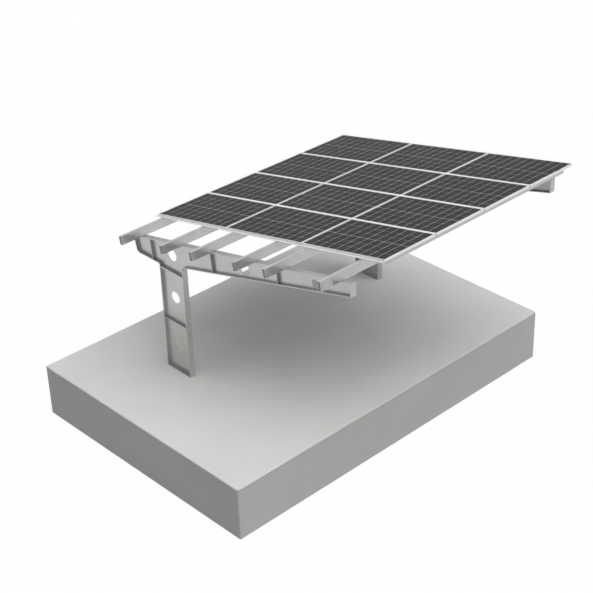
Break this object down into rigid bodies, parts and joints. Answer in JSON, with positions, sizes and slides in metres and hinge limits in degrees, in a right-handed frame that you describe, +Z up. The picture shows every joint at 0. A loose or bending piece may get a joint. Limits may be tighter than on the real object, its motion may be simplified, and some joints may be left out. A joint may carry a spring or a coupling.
{
  "type": "solar carport",
  "caption": "Cantilever parking canopy with a sloping roof of solar panels on purlins, carried by tapered steel frames on a concrete block.",
  "frame": {"origin": "middle of the foundation block's flat underside", "axes": "+Z up, +X across the parking bay towards the roof's high edge, +Y along the purlins from the front frame to the back frame"},
  "size_m": [5.6904, 6.69, 4.293],
  "materials": {
    "concrete": "smooth cast concrete, matt light grey",
    "steel": "galvanised steel under a semi-gloss light grey coat",
    "zinc": "zinc plated, satin",
    "cap": "moulded light grey plastic",
    "aluminium": "anodised, satin silver",
    "trim": "folded steel, satin mid grey",
    "pad": "matt black rubber",
    "junction_box": "moulded black plastic",
    "cell": "dark grey-blue solar cells in rows on a white sheet, with fine light busbars",
    "glass": "tempered clear glass, slightly textured"
  },
  "bodies": {
    "root": {"foundation_block": "concrete", "column_front": "steel", "column_back": "steel", "beam_front": "steel", "beam_back": "steel", "splice_bolts": "zinc", "purlin_1": "steel", "purlin_2": "steel", "purlin_3": "steel", "purlin_4": "steel", "purlin_5": "steel", "purlin_6": "steel", "purlin_caps": "cap", "purlin_cleats": "zinc", "cleat_bolts": "zinc", "cleat_screws": "zinc", "front_edge_bar": "aluminium", "panel_pads": "pad", "panel_screws": "zinc", "high_edge_trim": "trim", "trim_rivets": "aluminium", "joint_strips": "aluminium", "junction_boxes": "junction_box", "panel_frame_a1": "aluminium", "panel_frame_a2": "aluminium", "panel_frame_a3": "aluminium", "panel_frame_a4": "aluminium", "panel_frame_b1": "aluminium", "panel_frame_b2": "aluminium", "panel_frame_b3": "aluminium", "panel_frame_b4": "aluminium", "panel_frame_c1": "aluminium", "panel_frame_c2": "aluminium", "panel_frame_c3": "aluminium", "panel_frame_c4": "aluminium", "panel_cells_a1": "cell", "panel_cells_a2": "cell", "panel_cells_a3": "cell", "panel_cells_a4": "cell", "panel_cells_b1": "cell", "panel_cells_b2": "cell", "panel_cells_b3": "cell", "panel_cells_b4": "cell", "panel_cells_c1": "cell", "panel_cells_c2": "cell", "panel_cells_c3": "cell", "panel_cells_c4": "cell", "panel_glass_a1": "glass", "panel_glass_a2": "glass", "panel_glass_a3": "glass", "panel_glass_a4": "glass", "panel_glass_b1": "glass", "panel_glass_b2": "glass", "panel_glass_b3": "glass", "panel_glass_b4": "glass", "panel_glass_c1": "glass", "panel_glass_c2": "glass", "panel_glass_c3": "glass", "panel_glass_c4": "glass"}
  },
  "joints": []
}
